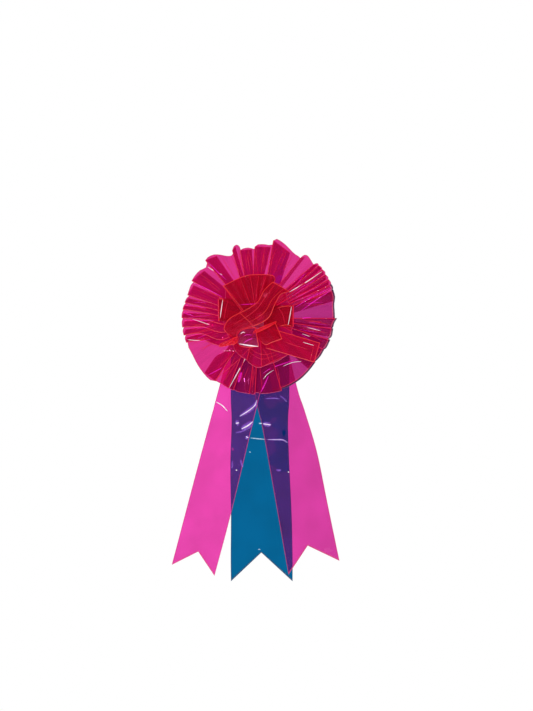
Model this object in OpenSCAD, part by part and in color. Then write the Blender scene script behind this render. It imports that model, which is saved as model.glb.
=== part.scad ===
// Award ribbon rosette of translucent film, with three swallow-tailed streamers and a brooch pin.
// Millimetres. The origin is on the closed needle's axis, level with the middle of the bar; +Z is up
// and the rosette faces -Y.
// Directions round the rosette are given in degrees clockwise from the top, seen from the front.

/* [Film] */
// Thickness of every film strip
film_t = 0.3; // [0.2:0.05:0.35]

/* [Rosette] */
// Height of the needle above the rosette's centre
pin_rise = 12; // [9:0.5:14]
// Usual rim radius of the outer ruffle
outer_r = 62; // [58:0.5:66]
// Usual rim radius of the inner ruffle
inner_r = 36; // [33:0.5:38]
// Radius of the hole in the outer ruffle's gathered edge
outer_hole_r = 13; // [13:0.1:13.5]
// Radius of the hole in the inner ruffle's gathered edge
inner_hole_r = 8; // [8:0.1:9]
// Width of the strip that the centre loops are made of
loop_w = 16; // [14:0.5:17]

/* [Streamers] */
// Width of the blue streamer at the rosette's centre
blue_w = 46; // [42:0.5:48]
// Width of the blue streamer across its tips
blue_end_w = 50; // [46:0.5:52]
// Length of the blue streamer from the rosette's centre to its tips
blue_len = 215; // [190:1:230]
// Width of the pink streamers at the rosette's centre
pink_w = 32; // [30:0.5:33]
// Width of the left streamer across its tips
left_end_w = 36; // [34:0.5:38]
// Width of the right streamer across its tips
right_end_w = 43; // [38:0.5:44]
// Length of the pink streamers from the rosette's centre to their tips
pink_len = 212; // [190:1:225]
// Slant of the left streamer
left_lean = 14.6; // [14:0.1:16]
// Slant of the right streamer
right_lean = 12.4; // [12:0.1:14]

/* [Backing] */
// Radius of the card that carries the ruffles
card_r = 25; // [24:0.5:26]
// Thickness of the card
card_t = 1.2; // [0.8:0.1:1.4]
// Thickness of the felt back cover
felt_t = 1.2; // [1:0.1:1.4]

/* [Brooch pin] */
// Length of the bar
bar_len = 34; // [33:0.5:36]
// Width of the bar
bar_w = 5; // [5:0.1:6]
// Radius of the needle
needle_r = 0.45; // [0.4:0.01:0.45]

/* [Hidden] */
$fn = 48;

centre_z = -pin_rise;
eps = 0.01;

// Planes of the sandwich, from the back of the rosette to its front (front is -Y).
bar_back_y = -3.0;
bar_t = 0.8;
felt_back_y = bar_back_y - bar_t;
tape_back_y = felt_back_y - felt_t;
tape_t = 0.7;
film_step = film_t + 0.3;
blue_back_y = tape_back_y - tape_t;
right_back_y = blue_back_y - film_step;
left_back_y = right_back_y - film_step;
card_back_y = left_back_y - film_step;
card_front_y = card_back_y - card_t;
staple_r = 0.3;
glue_ring_t = 0.8;
seat_gap = 0.1;
outer_back_y = card_front_y - glue_ring_t - seat_gap;
outer_depth = 5;
inner_back_y = outer_back_y - outer_depth - 0.7;
inner_depth = 4;

// Centre loops: a flattened hairpin of film, and the pitch at which they are stacked.
loop_h = 2.3;
loop_pitch = 2.7;
loop_root = 6;
loop_back_y = inner_back_y - inner_depth - 0.5;
band_back_y = loop_back_y - 5 * loop_pitch - 0.2;

// Hinge lines of the streamers, below the rosette's centre. The pink ones bend just under the rim,
// where they no longer overlap each other, and the blue one at the edge of the card.
pink_fold_z = centre_z - 77;
blue_fold_z = centre_z - card_r - 3;
fold_gap = 0.4;
head_rise = 14;
blue_lean = 0.5;
blue_notch = 23.5;
left_notch = 16;
right_notch = 18.5;

// Pleats of the outer ruffle, each a front fold and the panel that runs clockwise from it:
// [direction of the front fold, rim at the fold and rim at the next fold as shares of outer_r,
//  how far the panel runs on under the next pleat in degrees].
outer_pleats = [
    [-21, 1.00, 0.98, 4], [-15, 0.93, 0.92, 5], [-3, 0.94, 0.95, 5], [11, 1.04, 0.95, 7],
    [35, 1.00, 0.98, 5], [46, 1.03, 1.04, 4], [54, 1.05, 1.03, 4], [64, 1.04, 1.02, 3],
    [71, 1.02, 0.98, 6], [92, 1.01, 0.95, 8], [117, 0.95, 0.94, 5], [131, 0.95, 0.98, 8],
    [164, 0.99, 1.00, 6], [183, 1.01, 1.00, 6], [199, 1.00, 0.99, 3], [206, 1.00, 0.98, 3],
    [214, 1.02, 0.99, 5], [252, 1.00, 1.00, 5], [262, 1.00, 0.99, 5], [272, 1.00, 0.98, 5],
    [283, 0.99, 0.98, 7], [298, 0.99, 0.94, 7], [316, 1.01, 0.88, 5]
];

// Pleats of the inner ruffle, as above, as shares of inner_r.
inner_pleats = [
    [-50, 1.08, 0.99, 12], [-21, 0.99, 0.95, 12], [18, 0.96, 0.93, 9], [42, 0.92, 0.88, 12],
    [72, 0.88, 0.88, 12], [108, 1.00, 1.05, 12], [146, 1.06, 1.08, 10], [168, 1.09, 1.12, 9],
    [186, 1.08, 0.98, 11], [212, 0.95, 0.93, 12], [240, 0.94, 0.95, 11], [264, 0.97, 0.98, 14]
];

// The loops: [direction clockwise from the top, reach, width, level in the stack].
long_loop_row = [122, 54, loop_w, 0];
left_loop_row = [281, 34, loop_w + 2, 1];
right_loop_row = [90, 28, loop_w + 1, 2];
lower_loop_row = [168, 22, loop_w - 2, 3];
upper_loop_row = [318, 17, loop_w + 1, 4];

// Centre band: a strip that winds across the front in an S.
// [x, height over the rosette's centre, depth in front of band_back_y, half width across as x, z].
band_stations = [
    [16, 26, 0.0, 6, -4], [11, 20, 0.8, 6, -3], [6, 12, 1.6, 6.5, -2.5], [2, 5, 2.0, 7, -3.5],
    [-8, -2, 2.0, 6, -5.5], [-18, -6, 1.6, 5.5, -4], [-23, -12, 0.8, 5, -3], [-23, -16, 0.0, 4, -4]
];

// ---- Ruffles -------------------------------------------------------------------------------

function lerp(a, b, s) = a + (b - a) * s;
function polar(p) = [p[1] * sin(p[0]), p[2], centre_z + p[1] * cos(p[0])];

// The folded section of a ruffle at share s of the way from its hole to its rim, as points
// [direction, radius, y]: each pleat's front fold, the middle of its panel, and the two folds
// by which the film turns back under the next pleat.
fold_gap_y = 0.9;
inner_tuck = 0.8;
longest_tuck = 0.7;
tuck_short = 0.97;
panel_bulge = 1.01;

function pleat_section(rows, hole_r, rim_r, back_y, depth, s) = [
    for (i = [0 : len(rows) - 1])
        let (
            row = rows[i],
            last = i == len(rows) - 1,
            next = last ? rows[0] : rows[i + 1],
            a0 = row[0],
            a1 = next[0] + (last ? 360 : 0),
            after = rows[(i + 2) % len(rows)],
            next_width = (after[0] - next[0] + 360) % 360,
            tuck = min(row[3] * lerp(1 + inner_tuck, 1, s), longest_tuck * next_width),
            deep = depth * lerp(1, 0.8, s),
            front_y = back_y - deep,
            mid_share = (a1 - a0) / 2 / (a1 - a0 + tuck)
        )
        each [
            [a0, lerp(hole_r, rim_r * row[1], s), front_y],
            [(a0 + a1) / 2, lerp(hole_r, rim_r * (row[1] + row[2]) / 2 * panel_bulge, s),
                front_y + deep * mid_share],
            [a1 + tuck, lerp(hole_r, rim_r * row[2] * tuck_short, s), back_y],
            [a1 + tuck, lerp(hole_r, rim_r * row[2] * tuck_short, s), back_y - fold_gap_y],
            [a1, lerp(hole_r, rim_r * next[1], s), front_y + fold_gap_y]
        ]
];

// Unit normal of the step from a to b, in the plane of arc length and y.
function step_normal(a, b) =
    let (d = [(b[0] - a[0]) * PI / 180 * (a[1] + b[1]) / 2, b[2] - a[2]], n = norm(d))
    [-d[1] / n, d[0] / n];

// The section moved sideways by half the film's thickness, with mitred corners that stay short.
mitre_limit = 0.7;
function offset_section(pts, side) = [
    for (i = [0 : len(pts) - 1])
        let (
            n = len(pts),
            here = pts[i],
            wrap_back = i == 0 ? 360 : 0,
            wrap_on = i == n - 1 ? 360 : 0,
            before = pts[(i + n - 1) % n] - [wrap_back, 0, 0],
            after = pts[(i + 1) % n] + [wrap_on, 0, 0],
            u = step_normal(before, here),
            v = step_normal(here, after),
            m = (u + v) / max(1 + u * v, mitre_limit) * side * film_t / 2
        )
        [here[0] + m[0] / here[1] * 180 / PI, here[1], here[2] + m[1]]
];

module pleated_ring(rows, hole_r, rim_r, back_y, depth) {
    rings = 4;
    inset = film_t / 2;
    sections = [
        for (k = [0 : rings - 1])
            let (pts = pleat_section(rows, hole_r, rim_r, back_y - inset, depth - film_t, k / (rings - 1)))
            each [offset_section(pts, 1), offset_section(pts, -1)]
    ];
    n = len(sections[0]);
    points = [for (section = sections) for (p = section) polar(p)];
    function at(ring, side, i) = (2 * ring + side) * n + i % n;
    // Both walls are cut along the same diagonals, so that they never cross where the film twists.
    front = [
        for (i = [0 : n - 1], k = [0 : rings - 2])
            each quad(at(k, 0, i), at(k, 0, i + 1), at(k + 1, 0, i + 1), at(k + 1, 0, i))
    ];
    back = [
        for (i = [0 : n - 1], k = [0 : rings - 2])
            each quad(at(k, 1, i), at(k + 1, 1, i), at(k + 1, 1, i + 1), at(k, 1, i + 1))
    ];
    hole_edge = [
        for (i = [0 : n - 1])
            each quad(at(0, 0, i + 1), at(0, 0, i), at(0, 1, i), at(0, 1, i + 1))
    ];
    last = rings - 1;
    rim_edge = [
        for (i = [0 : n - 1])
            each quad(at(last, 0, i), at(last, 0, i + 1), at(last, 1, i + 1), at(last, 1, i))
    ];
    polyhedron(points, concat(front, back, hole_edge, rim_edge));
}

function quad(a, b, c, d) = [[a, b, c], [a, c, d]];

// A gathering thread lies just inside its ruffle's hole.
thread_r = 0.3;
thread_in = 0.95;

module thread_ring(ring_r, y) {
    translate([0, y, centre_z]) rotate([90, 0, 0])
        rotate_extrude() translate([ring_r, 0]) circle(thread_r);
}

module outer_ruffle() {
    color("#E01A82") pleated_ring(outer_pleats, outer_hole_r, outer_r, outer_back_y, outer_depth);
}

module inner_ruffle() {
    color("#C80A4C") pleated_ring(inner_pleats, inner_hole_r, inner_r, inner_back_y, inner_depth);
}

module outer_gather_thread() {
    color("#E8508C") thread_ring(outer_hole_r - thread_in, outer_back_y - outer_depth / 2);
}

module inner_gather_thread() {
    color("#E8508C") thread_ring(inner_hole_r - thread_in, inner_back_y - inner_depth / 2);
}

// ---- Centre --------------------------------------------------------------------------------

// A flattened hairpin of film lying along a direction from the centre, with its fold outermost.
module film_loop(row) {
    direction = row[0];
    reach = row[1];
    width = row[2];
    level = row[3];
    bend_r = loop_h / 2;
    steps = 10;
    outer = [for (i = [0 : steps]) let (a = -90 + 180 * i / steps)
        [reach - bend_r + bend_r * cos(a), bend_r + bend_r * sin(a)]];
    inner = [for (i = [steps : -1 : 0]) let (a = -90 + 180 * i / steps)
        [reach - bend_r + (bend_r - film_t) * cos(a), bend_r + (bend_r - film_t) * sin(a)]];
    outline = concat([[-loop_root, 0]], outer, [[-loop_root, loop_h], [-loop_root, loop_h - film_t]],
        inner, [[-loop_root, film_t]]);
    translate([0, loop_back_y - level * loop_pitch, centre_z]) rotate([0, direction, 0])
        rotate([0, -90, 180]) linear_extrude(width, center = true) polygon(outline);
}

module long_loop() color("#A8083C") film_loop(long_loop_row);
module left_loop() color("#C00438") film_loop(left_loop_row);
module right_loop() color("#B00428") film_loop(right_loop_row);
module lower_loop() color("#B80420") film_loop(lower_loop_row);
module upper_loop() color("#B00428") film_loop(upper_loop_row);

module centre_band() {
    function corner(st, across, through) = [
        st[0] + across * st[3],
        band_back_y - film_t / 2 - st[2] + through * film_t / 2,
        centre_z + st[1] + across * st[4]
    ];
    n = len(band_stations);
    points = [
        for (st = band_stations)
            each [corner(st, -1, 1), corner(st, 1, 1), corner(st, 1, -1), corner(st, -1, -1)]
    ];
    walls = [
        for (i = [0 : n - 2]) for (k = [0 : 3])
            each quad(4 * i + k, 4 * i + (k + 1) % 4, 4 * i + 4 + (k + 1) % 4, 4 * i + 4 + k)
    ];
    end = 4 * (n - 1);
    caps = concat(quad(3, 2, 1, 0), quad(end, end + 1, end + 2, end + 3));
    color("#C8102A") polyhedron(points, concat(walls, caps));
}

// Hot-melt dots that bond each loop's two layers, and each loop to the one behind it.
module glue_dots() {
    dot_r = 3;
    between = loop_pitch - loop_h;
    color("#F4DCE4") for (level = [0 : 4]) {
        back_y = loop_back_y - level * loop_pitch;
        disc(dot_r, back_y - film_t, loop_h - 2 * film_t);
        disc(dot_r, back_y - loop_h, level < 4 ? between : between + 0.2);
    }
}

// A disc square to the Y axis at the rosette's centre, from back_y forwards.
module disc(r, back_y, thick) {
    translate([0, back_y, centre_z]) rotate([90, 0, 0]) cylinder(h = thick, r = r);
}

module ring_disc(outside_r, inside_r, back_y, thick) {
    difference() {
        disc(outside_r, back_y, thick);
        disc(inside_r, back_y + 1, thick + 2);
    }
}

// The hot-melt plug on the card: a wide foot that the inner ruffle sits on, and a post that carries
// the loops. It flows round the staples' crowns, which leaves a groove for each.
module glue_core() {
    foot_r = 11;
    post_r = 6.5;
    groove = 2 * staple_r + 0.1;
    color("#F4DCE4") difference() {
        union() {
            disc(foot_r, card_front_y, card_front_y - inner_back_y - seat_gap);
            disc(post_r, card_front_y, card_front_y - loop_back_y);
        }
        for (z = [-staple_rise, staple_rise])
            translate([-foot_r, card_front_y - groove, centre_z + z - groove / 2])
                cube([2 * foot_r, groove + 1, groove]);
    }
}

module ruffle_glue_ring() {
    color("#F4DCE4") ring_disc(19, outer_hole_r + 0.5, card_front_y, glue_ring_t);
}

// ---- Backing -------------------------------------------------------------------------------

staple_half = 5.5;
staple_rise = 8;

// The four places where the staples' legs go through.
module at_staple_legs() {
    for (x = [-staple_half, staple_half], z = [-staple_rise, staple_rise])
        translate([x, 0, centre_z + z]) children();
}

module staple_holes() {
    at_staple_legs() rotate([90, 0, 0]) cylinder(h = 30, r = staple_r + 0.05, center = true, $fn = 24);
}

module front_card() {
    color("#F6F2F0") difference() {
        disc(card_r, card_back_y, card_t);
        staple_holes();
    }
}

module staples() {
    crown_y = card_front_y - staple_r;
    clinch_y = tape_back_y - tape_t / 2;
    clinch = 4;
    color("silver") for (z = [-staple_rise, staple_rise]) translate([0, 0, centre_z + z]) {
        translate([-staple_half, crown_y, 0]) rotate([0, 90, 0])
            cylinder(h = 2 * staple_half, r = staple_r, $fn = 24);
        for (side = [-1, 1]) translate([side * staple_half, 0, 0]) {
            translate([0, crown_y, 0]) sphere(staple_r, $fn = 24);
            translate([0, clinch_y, 0]) rotate([90, 0, 0])
                cylinder(h = clinch_y - crown_y, r = staple_r, $fn = 24);
            translate([0, clinch_y, 0]) sphere(staple_r, $fn = 24);
            translate([0, clinch_y, 0]) rotate([0, -90 * side, 0])
                cylinder(h = clinch, r = staple_r, $fn = 24);
        }
    }
}

module adhesive_ring() {
    color("#E8E4D8") ring_disc(card_r - 1, 12, tape_back_y, tape_t);
}

stitch_x = 7;
stitch_r = 0.25;
stitch_in = 0.45;
stitch_out = bar_w / 2 + 0.6;

module back_cover() {
    color("#D0387E") difference() {
        disc(card_r + 1, felt_back_y, felt_t);
        for (x = [-stitch_x, stitch_x], z = [-stitch_out, -stitch_in, stitch_in, stitch_out])
            translate([x, felt_back_y + 1, z]) rotate([90, 0, 0])
                cylinder(h = felt_t + 2, r = stitch_r + 0.05, $fn = 24);
    }
}

// ---- Streamers -----------------------------------------------------------------------------

// A swallow-tailed strip hanging from above the rosette's centre, leaning by some degrees.
module streamer(width, end_width, length, notch, lean, back_y) {
    top_w = width - (end_width - width) * head_rise / length;
    translate([0, back_y, centre_z]) rotate([0, lean, 0]) rotate([90, 0, 0]) linear_extrude(film_t)
        polygon([[-top_w / 2, head_rise], [top_w / 2, head_rise], [end_width / 2, -length],
            [0, notch - length], [-end_width / 2, -length]]);
}

module above(z) intersection() {
    children();
    translate([-150, -50, z + fold_gap / 2]) cube([300, 60, 200]);
}

module below(z) intersection() {
    children();
    translate([-150, -50, z - fold_gap / 2 - 300]) cube([300, 60, 300]);
}

module blue_strip() streamer(blue_w, blue_end_w, blue_len, blue_notch, -blue_lean, blue_back_y);
module left_strip() streamer(pink_w, left_end_w, pink_len, left_notch, left_lean, left_back_y);
module right_strip() streamer(pink_w, right_end_w, pink_len, right_notch, -right_lean, right_back_y);

module head(fold_z) difference() {
    above(fold_z) children();
    staple_holes();
}

module blue_streamer_head() color("#006896") head(blue_fold_z) blue_strip();
module left_streamer_head() color("#EB45AB") head(pink_fold_z) left_strip();
module right_streamer_head() color("#D83AA0") head(pink_fold_z) right_strip();
module blue_streamer() color("#006896") below(blue_fold_z) blue_strip();
module left_streamer() color("#EB45AB") below(pink_fold_z) left_strip();
module right_streamer() color("#D83AA0") below(pink_fold_z) right_strip();

// ---- Brooch pin ----------------------------------------------------------------------------

hinge_x = -15;
rivet_r = 0.5;
ear_r = 1.6;
ear_in = 1.0;
ear_t = 0.6;
neck_end_x = -10.5;
needle_end_x = 11.5;
tip_x = 16.5;
catch_x = 13;
catch_len = 3.5;
housing_r = 2.0;
housing_bore_r = 1.45;
roller_r = 1.4;
roller_bore_r = 0.85;

module along_x(x, h, r) translate([x, 0, 0]) rotate([0, 90, 0]) cylinder(h = h, r = r);

module pin_bar() {
    bar_mid_y = bar_back_y - bar_t / 2;
    end_x = bar_len / 2 - bar_w / 2;
    color("silver") difference() {
        union() {
            translate([-end_x, bar_back_y - bar_t, -bar_w / 2]) cube([2 * end_x, bar_t, bar_w]);
            for (x = [-end_x, end_x]) translate([x, bar_mid_y, 0]) rotate([90, 0, 0])
                cylinder(h = bar_t, r = bar_w / 2, center = true);
            for (z = [-ear_in - ear_t, ear_in]) translate([hinge_x, 0, z]) {
                cylinder(h = ear_t, r = ear_r);
                translate([-ear_r, bar_back_y - eps, 0]) cube([2 * ear_r, -bar_back_y + eps, ear_t]);
            }
        }
        translate([hinge_x, 0, -5]) cylinder(h = 10, r = rivet_r + 0.02);
        for (x = [-stitch_x, stitch_x]) translate([x, 0, 0]) rotate([90, 0, 0]) cylinder(h = 6, r = 1.1);
    }
}

module pin_stitches() {
    over_y = bar_back_y + stitch_r + 0.02;
    foot_y = felt_back_y - felt_t;
    color("#E8508C") for (x = [-stitch_x, stitch_x], side = [-1, 1]) translate([x, 0, 0]) {
        for (z = [stitch_in, stitch_out]) translate([0, over_y, side * z]) {
            sphere(stitch_r, $fn = 24);
            rotate([90, 0, 0]) cylinder(h = over_y - foot_y, r = stitch_r, $fn = 24);
        }
        translate([0, over_y, side > 0 ? stitch_in : -stitch_out])
            cylinder(h = stitch_out - stitch_in, r = stitch_r, $fn = 24);
    }
}

module hinge_rivet() {
    head_t = 0.4;
    half = ear_in + ear_t;
    color("gray") translate([hinge_x, 0, 0]) {
        translate([0, 0, -half]) cylinder(h = 2 * half, r = rivet_r);
        for (z = [-half - head_t, half]) translate([0, 0, z]) cylinder(h = head_t, r = 2 * rivet_r);
    }
}

module catch_housing() {
    slot = 1.7;
    foot_w = 1.8;
    color("silver") difference() {
        union() {
            along_x(catch_x, catch_len, housing_r);
            translate([catch_x, bar_back_y, -foot_w / 2])
                cube([catch_len, -bar_back_y - housing_bore_r, foot_w]);
        }
        along_x(catch_x - 1, catch_len + 2, housing_bore_r);
        translate([catch_x - 1, 0, -slot / 2]) cube([catch_len + 2, housing_r + 1, slot]);
    }
}

// The needle with its eye, closed along the X axis.
module pin_needle() {
    eye_r = 1.5;
    eye_h = 1.8;
    tip_r = 0.08;
    color("lightgray") difference() {
        union() {
            translate([hinge_x, 0, -eye_h / 2]) cylinder(h = eye_h, r = eye_r);
            along_x(hinge_x + 1, neck_end_x - hinge_x - 1, 0.7);
            along_x(neck_end_x - eps, needle_end_x - neck_end_x + eps, needle_r);
            translate([needle_end_x, 0, 0]) rotate([0, 90, 0])
                cylinder(h = tip_x - needle_end_x, r1 = needle_r, r2 = tip_r);
        }
        translate([hinge_x, 0, -5]) cylinder(h = 10, r = rivet_r + 0.05);
    }
}

// The turning sleeve of the catch, with its slot open to let the needle out.
module catch_roller() {
    slot = 1.3;
    collar_t = 0.6;
    collar_r = 1.9;
    play = 0.2;
    first_x = catch_x - play - collar_t;
    last_x = catch_x + catch_len + play;
    tab_len = 4.2;
    tab_w = 1.4;
    color("gold") difference() {
        union() {
            along_x(first_x, last_x + collar_t - first_x, roller_r);
            along_x(first_x, collar_t, collar_r);
            along_x(last_x, collar_t, collar_r);
            translate([last_x, -tab_w / 2, -tab_len]) cube([collar_t, tab_w, tab_len - 1]);
        }
        along_x(first_x - 1, last_x - first_x + 3, roller_bore_r);
        translate([first_x - 1, 0, -slot / 2]) cube([last_x - first_x + 3, collar_r + 1, slot]);
    }
}

outer_ruffle();
outer_gather_thread();
inner_ruffle();
inner_gather_thread();
long_loop();
left_loop();
right_loop();
lower_loop();
upper_loop();
centre_band();
glue_dots();
glue_core();
ruffle_glue_ring();
front_card();
staples();
adhesive_ring();
back_cover();
blue_streamer_head();
left_streamer_head();
right_streamer_head();
blue_streamer();
left_streamer();
right_streamer();
pin_bar();
pin_stitches();
hinge_rivet();
catch_housing();
pin_needle();
catch_roller();
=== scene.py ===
"""Looks of the award ribbon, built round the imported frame.

Film pieces are worked out in millimetres from the rosette's centre: x to the right and z up as
seen from the front, and y as in the frame, with the front towards -y.
"""
import math

import bmesh
import bpy
import numpy as np
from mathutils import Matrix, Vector, noise
from mathutils.bvhtree import BVHTree


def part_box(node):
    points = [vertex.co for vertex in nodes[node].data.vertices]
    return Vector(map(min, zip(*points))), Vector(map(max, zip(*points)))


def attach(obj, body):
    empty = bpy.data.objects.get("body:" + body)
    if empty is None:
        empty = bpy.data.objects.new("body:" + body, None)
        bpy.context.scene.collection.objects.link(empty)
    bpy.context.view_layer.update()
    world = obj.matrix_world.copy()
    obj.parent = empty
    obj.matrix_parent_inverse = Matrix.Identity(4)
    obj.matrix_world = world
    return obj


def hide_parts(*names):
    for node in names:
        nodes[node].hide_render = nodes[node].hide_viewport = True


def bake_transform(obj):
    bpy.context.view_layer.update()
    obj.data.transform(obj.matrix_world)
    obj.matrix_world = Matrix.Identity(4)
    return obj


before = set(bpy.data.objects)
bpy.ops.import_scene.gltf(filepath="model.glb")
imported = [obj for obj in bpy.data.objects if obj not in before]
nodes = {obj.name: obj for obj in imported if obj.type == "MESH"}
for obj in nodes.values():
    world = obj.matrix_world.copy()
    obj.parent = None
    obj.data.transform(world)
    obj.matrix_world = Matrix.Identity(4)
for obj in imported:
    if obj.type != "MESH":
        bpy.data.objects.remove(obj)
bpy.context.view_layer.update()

MM = 0.001
FILM_T = 0.3
EDGE_W = 0.5
CARD_LOW, CARD_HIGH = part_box("front_card")
CENTRE = (CARD_LOW + CARD_HIGH) / 2


def back_of(node):
    """The rearmost y of a CAD node, in millimetres."""
    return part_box(node)[1].y / MM


def front_of(node):
    """The foremost y of a CAD node, in millimetres."""
    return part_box(node)[0].y / MM


def middle_of(node):
    """The y halfway through a CAD node, in millimetres."""
    return (front_of(node) + back_of(node)) / 2


def in_frame(x, y, z):
    """A point in the frame, in metres: x and z are from the rosette's centre, all in millimetres."""
    return Vector((x * MM + CENTRE.x, y * MM, z * MM + CENTRE.z))


def place(name, data):
    """Adds an object to the scene."""
    obj = bpy.data.objects.new(name, data)
    bpy.context.scene.collection.objects.link(obj)
    return obj


# ---- Materials ----


MATERIALS = {}


class Nodes:
    """A material's node tree, with short calls for adding and linking nodes."""

    def __init__(self, name):
        self.name = name
        self.material = bpy.data.materials.new(name)
        self.material.use_nodes = True
        self.tree = self.material.node_tree
        self.tree.nodes.clear()
        self.output = self.tree.nodes.new("ShaderNodeOutputMaterial")

    def feed(self, socket, value):
        """Links another node's output to a socket, or sets the socket's own value."""
        if isinstance(value, bpy.types.NodeSocket):
            self.tree.links.new(value, socket)
        else:
            socket.default_value = value

    def add(self, kind, **sockets):
        """A node, with some of its sockets fed by name."""
        node = self.tree.nodes.new("ShaderNode" + kind)
        for key, value in sockets.items():
            self.feed(node.inputs[key.replace("_", " ")], value)
        return node

    def combine(self, node, *values):
        """What a node makes of its values, which are fed in order."""
        for socket, value in zip(node.inputs, values):
            self.feed(socket, value)
        return node.outputs[0]

    def work_out(self, kind, operation, *values):
        """The result of a Math or VectorMath operation on some values."""
        node = self.add(kind)
        node.operation = operation
        return self.combine(node, *values)

    def mix(self, fac, a, b):
        """Shader a turning into shader b as fac rises."""
        return self.combine(self.add("MixShader"), fac, a, b)

    def plus(self, a, b):
        """The sum of two shaders."""
        return self.combine(self.add("AddShader"), a, b)

    def noise(self, scale, detail, stretch=(1, 1, 1)):
        """Noise in the object's own space; scale is in cells per metre."""
        spot = self.add("TexCoord").outputs["Object"]
        mapping = self.add("Mapping", Vector=spot, Scale=stretch)
        return self.add("TexNoise", Vector=mapping.outputs[0], Scale=scale, Detail=detail).outputs["Fac"]

    def rays(self, scale):
        """Noise in streaks that run out from the rosette's centre and change slowly on the way."""
        change = (2, 2, 2)
        spot = self.add("TexCoord").outputs["Object"]
        from_centre = self.work_out("VectorMath", "SUBTRACT", spot, CENTRE)
        flat = self.work_out("VectorMath", "MULTIPLY", from_centre, (1, 0, 1))
        way = self.work_out("VectorMath", "NORMALIZE", flat)
        drift = self.work_out("VectorMath", "MULTIPLY_ADD", flat, change, way)
        return self.add("TexNoise", Vector=drift, Scale=scale, Detail=5.0).outputs["Fac"]

    def blend(self, fac, low, high):
        """A colour between low and high by fac."""
        ramp = self.add("ValToRGB", Fac=fac)
        ramp.color_ramp.elements[0].position = 0.3
        ramp.color_ramp.elements[0].color = (*low, 1)
        ramp.color_ramp.elements[1].position = 0.7
        ramp.color_ramp.elements[1].color = (*high, 1)
        return ramp.outputs["Color"]

    def bump(self, height, distance, strength):
        """A normal for a relief of some height."""
        return self.add("Bump", Height=height, Distance=distance, Strength=strength).outputs["Normal"]

    def schlick(self, straight, normal):
        """How much a surface reflects, from its share seen straight on, the same on both sides."""
        facing = self.add("LayerWeight", Blend=0.5, Normal=normal).outputs["Facing"]
        steep = self.work_out("Math", "POWER", facing, 5.0)
        return self.add("MapRange", Value=steep, To_Min=straight, To_Max=0.75).outputs[0]

    def finish(self, surface):
        """Gives the material its surface and lists it in MATERIALS."""
        self.feed(self.output.inputs["Surface"], surface)
        MATERIALS[self.name] = self.material
        return self.material


def scaled(colour, factor):
    """A colour made darker or paler."""
    return tuple(min(1.0, c * factor) for c in colour)


def film_material(name, tint, glow, haze, haze_share, roughness, shine, streaks=0):
    """Clear film. tint is what one wall of the closed film lets through, glow is its fluorescence."""
    m = Nodes(name)
    patches = m.rays(streaks) if streaks else m.noise(45, 3)
    uneven = 0.05 if streaks else 0.033
    lets_through = m.blend(patches, scaled(tint, 1 - uneven), scaled(tint, 1 + uneven))
    body = m.add("BsdfTransparent", Color=lets_through)
    glows = m.blend(patches, scaled(glow, 0.85), scaled(glow, 1.15))
    light = m.add("Emission", Color=glows, Strength=1.0)
    scuffs = m.bump(m.noise(900, 5), 0.00004, 0.5)
    ripples = m.bump(m.noise(70, 2), 0.0004, 0.35)
    dust = m.add("BsdfDiffuse", Color=(*haze, 1), Normal=scuffs)
    gloss = m.add("BsdfGlossy", Color=(*shine, 1), Roughness=roughness, Normal=ripples)
    clear = m.plus(body.outputs[0], light.outputs[0])
    hazy = m.mix(haze_share, clear, dust.outputs[0])
    return m.finish(m.mix(m.schlick(0.03, ripples), hazy, gloss.outputs[0]))


def edge_material(name, glow, tint, solid):
    """A cut or folded edge of fluorescent film, where the light inside the film comes out."""
    m = Nodes(name)
    grain = m.noise(500, 3)
    light = m.add("Emission", Color=m.blend(grain, scaled(glow, 0.8), scaled(glow, 1.15)), Strength=1.0)
    clear = m.add("BsdfTransparent", Color=(*tint, 1))
    shine = m.add("BsdfGlossy", Color=(1, 1, 1, 1), Roughness=0.16)
    core = m.mix(solid, clear.outputs[0], light.outputs[0])
    return m.finish(m.mix(0.05, core, shine.outputs[0]))


def painted_highlight_material(name, colour, solid, strength=1.35, gloss=0.15):
    """A painted highlight for sharp creases: emission and a diffuse of its colour, partly clear, and
    shiny.
    """
    m = Nodes(name)
    grain = m.noise(260, 3)
    clear = m.add("BsdfTransparent", Color=(1, 1, 1, 1))
    white = m.add("BsdfDiffuse", Color=(*colour, 1))
    light = m.add("Emission", Color=m.blend(grain, scaled(colour, 0.5), colour), Strength=strength)
    shine = m.add("BsdfGlossy", Color=(1, 1, 1, 1), Roughness=0.1)
    painted_shine = m.mix(0.7, white.outputs[0], light.outputs[0])
    core = m.mix(solid, clear.outputs[0], painted_shine)
    return m.finish(m.mix(gloss, core, shine.outputs[0]))


def surface_material(
    name, low, high, scale, roughness, metallic=0.0, bump=0.0, stretch=(1, 1, 1), sheen=0.0
):
    """An opaque material whose colour, roughness and relief vary with one noise."""
    m = Nodes(name)
    grain = m.noise(scale, 6, stretch)
    shader = m.add(
        "BsdfPrincipled",
        Base_Color=m.blend(grain, low, high),
        Metallic=metallic,
        Sheen_Weight=sheen,
        Normal=m.bump(grain, bump, 0.6),
    )
    rough = m.add("MapRange", Value=grain, To_Min=roughness * 0.75, To_Max=min(1.0, roughness * 1.3))
    m.feed(shader.inputs["Roughness"], rough.outputs[0])
    return m.finish(shader.outputs[0])


def twist_material(name, colour):
    """Thread: plies wound slantwise round it."""
    m = Nodes(name)
    spot = m.add("TexCoord").outputs["Object"]
    mapping = m.add("Mapping", Vector=spot, Rotation=(0, 0.6, 0.7))
    plies = m.add("TexWave", Vector=mapping.outputs[0], Scale=700.0, Distortion=1.5).outputs["Fac"]
    shader = m.add(
        "BsdfPrincipled",
        Base_Color=m.blend(plies, scaled(colour, 0.6), colour),
        Roughness=0.6,
        Sheen_Weight=0.3,
        Normal=m.bump(plies, 0.00012, 0.7),
    )
    return m.finish(shader.outputs[0])


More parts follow.
